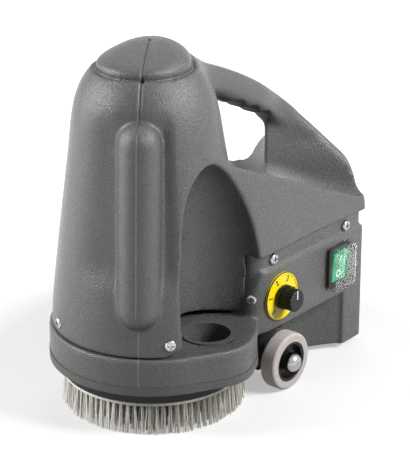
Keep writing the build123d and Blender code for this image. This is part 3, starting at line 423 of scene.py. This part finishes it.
def trimmed(hood, tower, x, y, z):
    """Keeps the hood inside ridges, side walls and round rear, and only the tower below the box's top."""
    front = TRIM_FREE * (1 - blend_in(x, *TRIM_START))
    middle = TRIM_FREE * (1 - blend_in(np.abs(y), *RIDGE_EDGE))
    hood = meet(hood, (z - height_at(RIDGE, x)) * DECK_SCALE - front - middle, TRIM_BLEND)
    rear = np.hypot(x, y) - TAIL_REAR
    hood = meet(hood, meet(flank_form(x, y, z) - front, rear, REAR_BLEND), TRIM_BLEND)
    return np.where(z < BOX_TOP + JOINT_GAP, tower, hood)


def scalloped(hood, x, y, z):
    """Cuts three finger scallops into the underside of the grip."""
    for finger in (-1, 0, 1):
        px = SCALLOP_X + finger * SCALLOP_PITCH / math.hypot(1, slope_of(GRIP_UNDER))
        pz = height_at(GRIP_UNDER, px) - SCALLOP_R + SCALLOP_DEPTH
        scallop = np.maximum(np.hypot(x - px, z - pz) - SCALLOP_R, grip_under(x, z) - SCALLOP_REACH)
        hood = carve(hood, np.maximum(scallop, np.abs(y) - SCALLOP_HALF), SCALLOP_BLEND)
    return hood


def on_seam(radius, z):
    """A spot on the parting line's plane, in front of the brush axis."""
    return (-radius * math.cos(SEAM_ANGLE), -radius * math.sin(SEAM_ANGLE), z)


def shelled(hood, niche_r, x, y, z):
    """Hollows the hood and cuts it free of the deck, the control box and the box's right front corner."""
    lift = NICHE_LIFT * (1 - blend_in(niche_r, *NICHE_LIFT_R)) * (1 - LIFT_DROP * blend_in(x, *LIFT_DROP_X))
    shell = np.maximum(hood, DECK_TOP + SEAM_GAP + lift - z)
    over_box = z - BOX_TOP - JOINT_GAP
    box = polygon(box_outline(), x, y) - JOINT_GAP
    shell = np.maximum(shell, -np.maximum(box, over_box))
    corner = np.maximum(BOX_FRONT - JOINT_GAP - x, x - BOX_FRONT - BOX_CORNER_R)
    corner = np.maximum(corner, y + BOX_HALF - BOX_CORNER_R)
    shell = np.maximum(shell, -np.maximum(corner, over_box))
    foot = np.minimum(BOX_TOP + JOINT_GAP - z, np.hypot(x, y) - HOOD_FOOT_R)
    shell = np.maximum(shell, np.minimum(foot, x - HOOD_FOOT_X))
    return np.maximum(shell, -(hood + HOOD_WALL))


def make_hood():
    x, y, z = space(HOOD_LOW, HOOD_HIGH)
    tower = tower_form(x, y, z)
    hood = join(tower, tail_form(x, y, z), TAIL_BLEND)
    hood = join(hood, handle_form(x, y, z), HANDLE_BLEND)
    hood = scalloped(trimmed(hood, tower, x, y, z), x, y, z)
    foot, head = on_seam(BAR_FOOT_R, BAR_FOOT_Z), on_seam(BAR_HEAD_R, BAR_HEAD_Z)
    hood = join(hood, capsule(x, y, z, foot, head, BAR_R), BAR_BLEND)
    middle = NICHE[0] - NICHE_BEND * np.maximum(z - NICHE_BEND_Z, 0)
    niche_r = np.hypot(x - middle, y - NICHE[1])
    niche = revolved([(0, HOOD_FOOT)] + soften(NICHE_SIDE), niche_r, z)
    hood = carve(hood, niche, NICHE_BLEND)
    return skin("hood_moulding", shelled(hood, niche_r, x, y, z), HOOD_LOW)


def hollowed(base, plan, walls, feet, x, y, z):
    """Hollows the skirt, the box and its foot, and opens the box towards the tower."""
    under_deck = np.maximum(plan + BASE_WALL, z - DECK_TOP + BASE_WALL)
    off_skirt = np.where(z < DECK_TOP, SKIRT_R - JOINT_GAP - np.hypot(x, y), -np.inf)
    in_box = np.maximum(walls + BASE_WALL, np.maximum(BOX_FLOOR + BASE_WALL - z, off_skirt))
    pit = np.maximum(np.maximum(feet + BASE_WALL, BOX_BOTTOM + BASE_WALL - z), z - PIT_TOP)
    base = np.maximum(np.maximum(base, -under_deck), np.maximum(-in_box, -pit))
    doorway = np.maximum(np.abs(x - DOOR_X) - DOOR_HALF_X, np.abs(y) - DOOR_HALF_Y)
    return np.maximum(base, -np.maximum(doorway, DECK_TOP - z))


def pierced(base, x, y, z):
    """Cuts the holes of the socket, the spindle, the dial, the switch and the cable gland."""
    socket = np.hypot(x - SOCKET[0], y - SOCKET[1]) - SOCKET_R
    base = carve(base, np.maximum(socket, SOCKET_FOOT - z), SOCKET_SOFT)
    base = carve(base, np.maximum(np.hypot(x, y) - SPINDLE_HOLE_R, SPINDLE_HOLE_FOOT - z), HOLE_SOFT)
    panel = np.maximum(y - PANEL_CUT[1], PANEL_CUT[0] - y)
    dial = np.hypot(x - DIAL[0], z - DIAL[1]) - DIAL_HOLE_R
    base = carve(base, np.maximum(dial, panel), HOLE_SOFT)
    switch = np.maximum(np.abs(x - SWITCH[0]) - SWITCH_HALF[0], np.abs(z - SWITCH[1]) - SWITCH_HALF[1])
    base = carve(base, np.maximum(switch, panel), HOLE_SOFT)
    gland = np.maximum(np.hypot(y, z - GLAND_Z) - GLAND_R, GLAND_FRONT - x)
    return carve(base, gland, HOLE_SOFT)


def make_base():
    x, y, z = space(BASE_LOW, BASE_HIGH)
    rims = around(0, 0, SKIRT_R, 96) + around(*SOCKET, LEDGE_R) + around(*LEDGE_REAR, LEDGE_R)
    plan = polygon(hull(rims), x, y)
    walls = polygon(box_outline(), x, y)
    feet = polygon(arch_outline(), x, y)
    skirt = slab(plan, z, SKIRT_LIFT, DECK_TOP, SKIRT_ROUND)
    box = slab(walls, z, BOX_FLOOR, BOX_TOP + BOX_RIM, BOX_ROUND)
    lower = slab(feet, z, BOX_BOTTOM, ARCH_TOP, ARCH_ROUND)
    panel = meet(walls - PANEL_RISE, polygon(PANEL_EDGE, x, z), PANEL_SOFT)
    ends = np.where(np.abs(y) > PANEL_FRONT_HALF, x - PANEL_SIDE_END, x - PANEL_FRONT_END)
    panel = np.maximum(panel, ends)
    base = join(join(skirt, box, SKIRT_BLEND), join(lower, panel, PANEL_BLEND), BASE_BLEND)
    base = pierced(hollowed(base, plan, walls, feet, x, y, z), x, y, z)
    return skin("base_moulding", base, BASE_LOW)


def node_tree(name):
    material = bpy.data.materials.new(name)
    material.use_nodes = True
    tree = material.node_tree
    shader = next(n for n in tree.nodes if n.type == "BSDF_PRINCIPLED")
    return material, tree, shader


def material_output(tree):
    return next(n for n in tree.nodes if n.type == "OUTPUT_MATERIAL").inputs["Surface"]


def grain_coords(tree):
    return tree.nodes.new("ShaderNodeTexCoord").outputs["Object"]


def noise(tree, scale, detail=2.0):
    node = tree.nodes.new("ShaderNodeTexNoise")
    node.inputs["Scale"].default_value = scale
    node.inputs["Detail"].default_value = detail
    tree.links.new(grain_coords(tree), node.inputs["Vector"])
    return node.outputs["Fac"]


def ramp(tree, value, low, high, start=0.35, end=0.65):
    """Colour that goes from low, where value is start, to high, where it is end."""
    node = tree.nodes.new("ShaderNodeValToRGB")
    node.color_ramp.elements[0].position = start
    node.color_ramp.elements[1].position = end
    node.color_ramp.elements[0].color = (*low, 1)
    node.color_ramp.elements[1].color = (*high, 1)
    tree.links.new(value, node.inputs["Fac"])
    return node.outputs["Color"]


def bump(tree, shader, height, strength, distance):
    node = tree.nodes.new("ShaderNodeBump")
    node.inputs["Strength"].default_value = strength
    node.inputs["Distance"].default_value = distance
    tree.links.new(height, node.inputs["Height"])
    tree.links.new(node.outputs["Normal"], shader.inputs["Normal"])


def dot(tree, vector, direction):
    node = tree.nodes.new("ShaderNodeVectorMath")
    node.operation = "DOT_PRODUCT"
    node.inputs[1].default_value = direction
    tree.links.new(vector, node.inputs[0])
    return node.outputs["Value"]


def maths(tree, operation, *operands):
    """Result of a Math node. Each operand is a socket or a plain number."""
    node = tree.nodes.new("ShaderNodeMath")
    node.operation = operation
    for operand, entry in zip(operands, node.inputs):
        if isinstance(operand, float):
            entry.default_value = operand
        else:
            tree.links.new(operand, entry)
    return node.outputs["Value"]


def surface(name, colour, roughness, metallic=0.0, gloss=0.5, spread=0.1, scale=400.0, bumps=0.0,
            distance=0.0002):
    """A plain material with a slight speckle and, if asked for, a fine grain."""
    material, tree, shader = node_tree(name)
    dark = [c * (1 - spread) for c in colour]
    light = [min(1, c * (1 + spread)) for c in colour]
    grain = noise(tree, scale)
    tree.links.new(ramp(tree, grain, dark, light), shader.inputs["Base Color"])
    shader.inputs["Roughness"].default_value = roughness
    shader.inputs["Metallic"].default_value = metallic
    shader.inputs["Specular IOR Level"].default_value = gloss
    if bumps:
        bump(tree, shader, grain, bumps, distance)
    return material


def moulded_grey():
    """Grained grey with the mould's parting line painted in: a pale painted highlight along it on the bar
    and skirt, and dark painted shade along it at the top.
    """
    material = surface("housing", HOUSING_GREY, 0.27, spread=0.35, scale=1100.0, bumps=0.7, distance=0.0008)
    tree = material.node_tree
    shader = next(n for n in tree.nodes if n.type == "BSDF_PRINCIPLED")
    plain = shader.inputs["Base Color"].links[0].from_socket
    spot = grain_coords(tree)
    sine, cosine = math.sin(SEAM_ANGLE), math.cos(SEAM_ANGLE)
    axis_off, axis_ahead = AXIS.x * sine - AXIS.y * cosine, -AXIS.x * cosine - AXIS.y * sine
    off = maths(tree, "SUBTRACT", dot(tree, spot, (sine, -cosine, 0)), axis_off)
    near = maths(tree, "LESS_THAN", maths(tree, "ABSOLUTE", off), LINE_WIDTH / 2)
    ahead = maths(tree, "GREATER_THAN", dot(tree, spot, (-cosine, -sine, 0)), axis_ahead)
    # Painted light along the parting line: pale painted highlight low down, dark painted shade higher up.
    line = ramp(tree, dot(tree, spot, (0, 0, 1)), PAINTED_SEAM_HIGHLIGHT, PAINTED_SEAM_SHADE, *SEAM_SHADE_HEIGHTS)
    mix = tree.nodes.new("ShaderNodeMixRGB")
    tree.links.new(maths(tree, "MULTIPLY", near, ahead), mix.inputs["Fac"])
    tree.links.new(plain, mix.inputs["Color1"])
    tree.links.new(line, mix.inputs["Color2"])
    tree.links.new(mix.outputs["Color"], shader.inputs["Base Color"])
    return material


def lit_green():
    """Green plastic with a lamp behind it."""
    material, tree, shader = node_tree("rocker_green")
    glow = ramp(tree, noise(tree, 60.0, 0.0), (0.01, 0.2, 0.09), (0.06, 0.46, 0.24))
    tree.links.new(glow, shader.inputs["Base Color"])
    tree.links.new(glow, shader.inputs["Emission Color"])
    shader.inputs["Emission Strength"].default_value = 0.35
    shader.inputs["Roughness"].default_value = 0.25
    return material


def clear_plastic():
    """Thin clear plastic: mostly see-through, with a share of bending and shine."""
    material, tree, shader = node_tree("clear_cover")
    shader.inputs["Base Color"].default_value = (0.95, 0.97, 0.96, 1)
    shader.inputs["Roughness"].default_value = 0.08
    shader.inputs["IOR"].default_value = 1.35
    shader.inputs["Transmission Weight"].default_value = 1.0
    clear = tree.nodes.new("ShaderNodeBsdfTransparent")
    mix = tree.nodes.new("ShaderNodeMixShader")
    mix.inputs["Fac"].default_value = COVER_SHARE
    tree.links.new(clear.outputs["BSDF"], mix.inputs[1])
    tree.links.new(shader.outputs["BSDF"], mix.inputs[2])
    tree.links.new(mix.outputs["Shader"], material_output(tree))
    return material


materials = {
    "housing": moulded_grey(),
    "seal_rubber": surface("seal_rubber", (0.075, 0.074, 0.073), 0.5, spread=0.3, scale=1100.0, bumps=0.4),
    "tyre": surface("tyre", (0.46, 0.42, 0.405), 0.65, spread=0.06, scale=600.0, bumps=0.1),
    "black_plastic": surface("black_plastic", (0.009, 0.009, 0.01), 0.4, gloss=0.25),
    "steel": surface("steel", (0.4, 0.4, 0.41), 0.22, metallic=1.0, spread=0.05),
    "alloy": surface("alloy", (0.5, 0.51, 0.52), 0.45, metallic=1.0, spread=0.08),
    "copper": surface("copper", (0.6, 0.3, 0.14), 0.4, metallic=1.0),
    "scale_yellow": surface("scale_yellow", (0.95, 0.72, 0.0), 0.4, spread=0.02),
    "board": surface("board", (0.03, 0.18, 0.06), 0.5),
    "bristle": surface("bristle", (0.78, 0.76, 0.7), 0.6, spread=0.08),
    "rocker_green": lit_green(),
    "clear_cover": clear_plastic(),
}
WHITE_INK = surface("white_ink", (0.85, 0.85, 0.85), 0.5, spread=0.02)
BLACK_INK = surface("black_ink", (0.01, 0.01, 0.01), 0.5, spread=0.02)
BLACKED_STEEL = surface("blacked_steel", (0.03, 0.03, 0.032), 0.45, metallic=0.6)
BLACKED_NODES = ("axle_bracket", "bracket_screws")


def coat(thing, material, body):
    """Gives a piece its material, and says which body it moves with."""
    thing.data.materials.clear()
    thing.data.materials.append(material)
    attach(thing, body)


def dress(thing, slot, body, node):
    """Shows a piece in the place of a node, in the material of the node's slot."""
    coat(thing, materials[slot], body)
    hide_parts(node)


def show_nodes():
    """Gives every node its material and smooth shading with sharp edges."""
    for part in frame["record"]["subparts"]:
        mesh = frame["nodes"][part["node"]].data
        blacked = part["node"].startswith(BLACKED_NODES)
        mesh.materials.clear()
        mesh.materials.append(BLACKED_STEEL if blacked else materials[part["material_slot"]])
        mesh.polygons.foreach_set("use_smooth", [True] * len(mesh.polygons))
        mesh.set_sharp_from_angle(angle=SHARP_EDGE)


def add_filament(points, faces, root, tip):
    """Adds a thin three sided filament, open at its root."""
    first = len(points)
    turns = [2 * math.pi * k / 3 for k in range(3)]
    for (x, y, z), radius in ((root, FILAMENT_ROOT_R), (tip, FILAMENT_TIP_R)):
        points += [place(x + radius * math.cos(t), y + radius * math.sin(t), z) for t in turns]
    for k in range(3):
        n = (k + 1) % 3
        faces.append((first + k, first + 3 + k, first + 3 + n, first + n))
    faces.append((first + 3, first + 5, first + 4))


def add_ring(points, faces, sections, spot):
    """Adds a ring whose cross section is the outline of (radius, height) points, set down by spot."""
    first = len(points)
    turns = [2 * math.pi * k / RING_SIDES for k in range(RING_SIDES)]
    for radius, height in sections:
        points += [spot(radius * math.cos(t), radius * math.sin(t), height) for t in turns]
    starts = [first + RING_SIDES * band for band in range(len(sections))]
    for k in range(RING_SIDES):
        n = (k + 1) % RING_SIDES
        faces += [(a + k, a + n, b + n, b + k) for a, b in zip(starts, starts[1:] + starts[:1])]


def make_bristles():
    """Tufts of fine filaments set in a flat backing, which lies against the brush block's lower face."""
    rng = np.random.default_rng(4)
    points, faces = [], []
    for row in range(TUFT_ROWS):
        radius = TUFT_FIRST_R + TUFT_ROW_PITCH * row
        lean = TUFT_LEAN + TUFT_LEAN_MORE * (row / (TUFT_ROWS - 1)) ** 2
        count = int(2 * math.pi * radius / TUFT_PITCH)
        for turn in range(count):
            angle = 2 * math.pi * (turn + 0.5 * (row % 2)) / count
            out = np.array((math.cos(angle), math.sin(angle)))
            for _ in range(FILAMENTS):
                spread = rng.normal(0, TUFT_SPREAD, 2)
                bend = rng.normal(0, FILAMENT_BEND, 2)
                root = radius * out + spread
                tip = root + spread + bend + lean * out
                end = TUFT_TIP + abs(rng.normal(0, FILAMENT_SHORT))
                add_filament(points, faces, (*root, TUFT_TOP), (*tip, end))
    backing = [(BACKING_IN, BACKING_LOW), (BACKING_OUT, BACKING_LOW)]
    backing += [(BACKING_OUT, BACKING_HIGH), (BACKING_IN, BACKING_HIGH)]
    add_ring(points, faces, backing, place)
    return mesh_piece("brush_tufts", points, faces)


def on_panel(spot, out):
    """Matrix of an (x, z) spot on the panel: local x to the rear, y up, z out of the panel."""
    turn = Matrix(((1, 0, 0), (0, 0, -1), (0, 1, 0))).to_4x4()
    return Matrix.Translation(place(spot[0], PANEL_Y - out, spot[1])) @ turn


def shift(x, y, z):
    return Matrix.Translation((x * MM, y * MM, z * MM))


def flat_ring(name, outer, inner, height, matrix):
    points, faces = [], []
    sections = [(inner, 0), (outer, 0), (outer, height), (inner, height)]
    add_ring(points, faces, sections, lambda x, y, z: matrix @ Vector((x * MM, y * MM, z * MM)))
    return mesh_piece(name, points, faces)


def bar(name, size, matrix):
    """A flat bar that stands on the matrix's plane."""
    w, h, top = size[0] * MM / 2, size[1] * MM / 2, size[2] * MM
    corners = [(-w, -h), (w, -h), (w, h), (-w, h)]
    points = [matrix @ Vector((x, y, z)) for z in (0, top) for x, y in corners]
    faces = [(3, 2, 1, 0), (4, 5, 6, 7), (0, 1, 5, 4), (1, 2, 6, 5), (2, 3, 7, 6), (3, 0, 4, 7)]
    return mesh_piece(name, points, faces)


def figure(name, text, matrix):
    curve = bpy.data.curves.new(name, "FONT")
    curve.body = text
    curve.size = FIGURE_SIZE * MM
    curve.extrude = FIGURE_HEIGHT * MM
    curve.offset = FIGURE_BOLD * MM
    curve.align_x, curve.align_y = "CENTER", "CENTER"
    thing = add_object(name, curve)
    thing.matrix_world = matrix
    return thing


def print_dial():
    """Rim, figures and ticks of the scale, and the knob's pointer."""
    rim = on_panel(DIAL, SCALE_RIM_FACE)
    rim = flat_ring("scale_rim", SCALE_RIM_OUT, SCALE_RIM_IN, SCALE_RIM_HEIGHT, rim)
    coat(rim, BLACK_INK, "machine")
    face = on_panel(DIAL, SCALE_FACE)
    for number in range(FIGURES):
        angle = math.radians(SCALE_START - SCALE_SWEEP * number / (FIGURES - 1))
        turned = Matrix.Rotation(angle - math.pi / 2, 4, "Z")
        spot = face @ shift(FIGURE_R * math.cos(angle), FIGURE_R * math.sin(angle), 0) @ turned
        coat(figure(f"scale_figure_{number}", str(number), spot), BLACK_INK, "machine")
    for tick in range(TICKS):
        angle = math.radians(SCALE_START - SCALE_SWEEP * tick / (TICKS - 1))
        spot = face @ Matrix.Rotation(angle - math.pi / 2, 4, "Z") @ shift(0, TICK_R, 0)
        coat(bar(f"scale_tick_{tick}", TICK_SIZE, spot), BLACK_INK, "machine")
    pointer = on_panel(DIAL, POINTER_FACE) @ shift(0, POINTER_R, 0)
    coat(bar("knob_pointer", POINTER_SIZE, pointer), WHITE_INK, "knob")


def on_rocker(side):
    """Matrix of the middle of the rocker's upper face, for side 1, or of its lower face, for side -1."""
    face = on_panel(SWITCH, 0) @ Matrix.Rotation(ROCKER_REST, 4, "X")
    return face @ shift(0, side * MARK_Z, MARK_FACE) @ Matrix.Rotation(side * ROCKER_SLOPE, 4, "X")


def print_rocker():
    """The ring for off and the stroke for on."""
    off = flat_ring("rocker_mark_off", OFF_MARK_OUT, OFF_MARK_IN, MARK_HEIGHT, on_rocker(-1))
    coat(off, WHITE_INK, "rocker")
    coat(bar("rocker_mark_on", ON_MARK_SIZE, on_rocker(1)), WHITE_INK, "rocker")


def make_camera():
    camera = bpy.data.cameras.new("camera")
    camera.lens = CAMERA_LENS
    camera.sensor_width = CAMERA_SENSOR
    camera.shift_y = CAMERA_SHIFT
    camera.clip_end = CAMERA_END
    eye = add_object("camera", camera)
    eye.location = place(*CAMERA_SPOT)
    level = math.cos(CAMERA_ELEVATION)
    ahead, across = math.sin(CAMERA_AZIMUTH) * level, math.cos(CAMERA_AZIMUTH) * level
    look = Vector((ahead, across, -math.sin(CAMERA_ELEVATION)))
    eye.rotation_mode = "QUATERNION"
    eye.rotation_quaternion = look.to_track_quat("-Z", "Y")
    bpy.context.scene.camera = eye


def lamp(name, spot, target, size, power):
    """A square lamp of a size in metres and a power in watts, turned towards its target."""
    light = bpy.data.lights.new(name, "AREA")
    light.size = size
    light.energy = power
    thing = add_object(name, light)
    thing.location = Vector(spot)
    thing.rotation_mode = "QUATERNION"
    thing.rotation_quaternion = (Vector(target) - Vector(spot)).to_track_quat("-Z", "Y")


def seen_white(tree):
    """One for rays that show the background: the camera's own, mirrored ones, those through clear parts."""
    path = tree.nodes.new("ShaderNodeLightPath").outputs
    straight_or_mirrored = maths(tree, "MAXIMUM", path["Is Camera Ray"], path["Is Glossy Ray"])
    return maths(tree, "MAXIMUM", straight_or_mirrored, path["Is Transmission Ray"])


def pale_floor():
    """Pale floor that the camera sees as white where no shadow falls, and that throws little light back."""
    material, tree, shader = node_tree("floor")
    tree.links.new(ramp(tree, noise(tree, 5.0), FLOOR_DARK, FLOOR_LIGHT), shader.inputs["Base Color"])
    shader.inputs["Roughness"].default_value = 0.8
    length = tree.nodes.new("ShaderNodeVectorMath")
    length.operation = "LENGTH"
    tree.links.new(grain_coords(tree), length.inputs[0])
    glow = tree.nodes.new("ShaderNodeEmission")
    fade = ramp(tree, length.outputs["Value"], [FLOOR_GLOW] * 3, (1, 1, 1), GLOW_START, GLOW_END)
    tree.links.new(fade, glow.inputs["Color"])
    lit = tree.nodes.new("ShaderNodeAddShader")
    tree.links.new(shader.outputs["BSDF"], lit.inputs[0])
    tree.links.new(glow.outputs["Emission"], lit.inputs[1])
    dim = tree.nodes.new("ShaderNodeBsdfDiffuse")
    dim.inputs["Color"].default_value = (FLOOR_THROWN, FLOOR_THROWN, FLOOR_THROWN, 1)
    mix = tree.nodes.new("ShaderNodeMixShader")
    tree.links.new(seen_white(tree), mix.inputs["Fac"])
    tree.links.new(dim.outputs["BSDF"], mix.inputs[1])
    tree.links.new(lit.outputs["Shader"], mix.inputs[2])
    tree.links.new(mix.outputs["Shader"], material_output(tree))
    return material


def make_floor():
    edge = FLOOR_HALF
    corners = [(-edge, -edge, 0), (edge, -edge, 0), (edge, edge, 0), (-edge, edge, 0)]
    floor = mesh_piece("floor", corners, [(0, 1, 2, 3)])
    floor.data.materials.append(pale_floor())


def make_world():
    """White where it is seen, and a weak even light on the object."""
    world = bpy.data.worlds.new("world")
    bpy.context.scene.world = world
    world.use_nodes = True
    tree = world.node_tree
    backdrop = next(n for n in tree.nodes if n.type == "BACKGROUND")
    backdrop.inputs["Color"].default_value = (1, 1, 1, 1)
    level = maths(tree, "MAXIMUM", seen_white(tree), WORLD_LIGHT)
    tree.links.new(level, backdrop.inputs["Strength"])


show_nodes()
dress(make_hood(), "housing", "machine", "hood")
dress(make_base(), "housing", "machine", "base_housing")
dress(make_bristles(), "bristle", "brush", "brush_bristles")
print_dial()
print_rocker()
make_camera()
lamp("left", (-1.1, 1.14, 0.8), (0, 0, 0.15), 0.7, 37)
lamp("right", (0.46, -1.28, 1.15), (0, 0, 0.15), 0.7, 41)
lamp("top", (0.6, 0.5, 1.9), (0, 0, 0.1), 0.6, 5)
make_floor()
make_world()
bpy.context.scene.view_settings.view_transform = "Standard"
